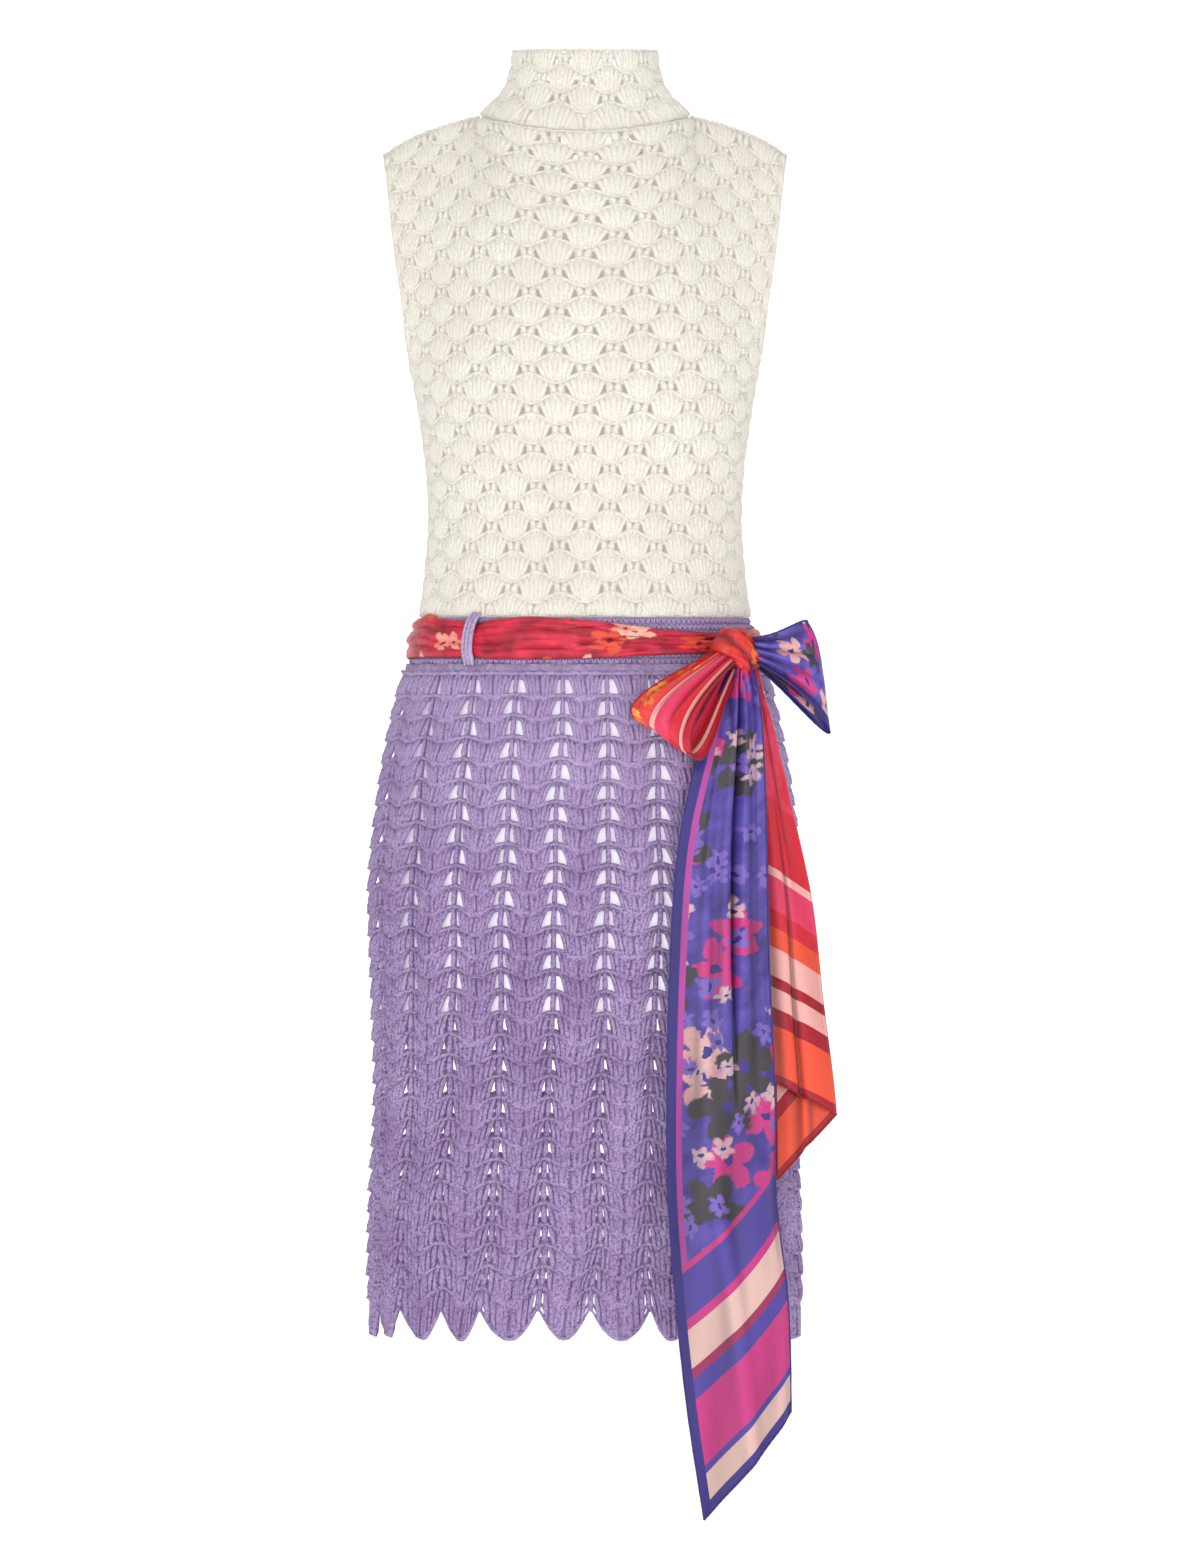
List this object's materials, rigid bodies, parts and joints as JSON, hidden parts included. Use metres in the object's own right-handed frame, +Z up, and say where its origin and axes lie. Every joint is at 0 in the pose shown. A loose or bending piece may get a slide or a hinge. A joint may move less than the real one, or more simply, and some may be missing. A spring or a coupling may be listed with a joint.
{
  "type": "crochet mini dress",
  "caption": "Sleeveless crochet mini dress with a mock neck, a net bodice, a scalloped shell-stitch skirt and a scarf sash tied in a bow at the hip.",
  "frame": {"origin": "in the middle of the neck, level with the top of the shoulders where the wearer holds the dress up", "axes": "+Z up towards the neck, +X towards the wearer's left hand side, -Y towards the front of the dress"},
  "size_m": [0.3701, 0.2729, 1.1461],
  "materials": {
    "cream_crochet": "matt cotton crochet",
    "lilac_crochet": "matt cotton crochet",
    "white_jersey": "thin cotton jersey",
    "red_silk": "soft printed silk",
    "violet_silk": "soft printed silk"
  },
  "bodies": {
    "root": {"collar": "cream_crochet", "bodice_front": "cream_crochet", "bodice_back": "cream_crochet", "waistband": "lilac_crochet", "skirt_front": "lilac_crochet", "skirt_back": "lilac_crochet", "skirt_lining": "white_jersey", "belt_loop_front": "lilac_crochet", "belt_loop_back_a": "lilac_crochet", "belt_loop_back_b": "lilac_crochet", "sash_belt": "red_silk", "sash_knot": "red_silk", "bow_loop_left": "red_silk", "bow_loop_right": "violet_silk", "tail_long": "violet_silk", "tail_short": "red_silk"}
  },
  "joints": []
}
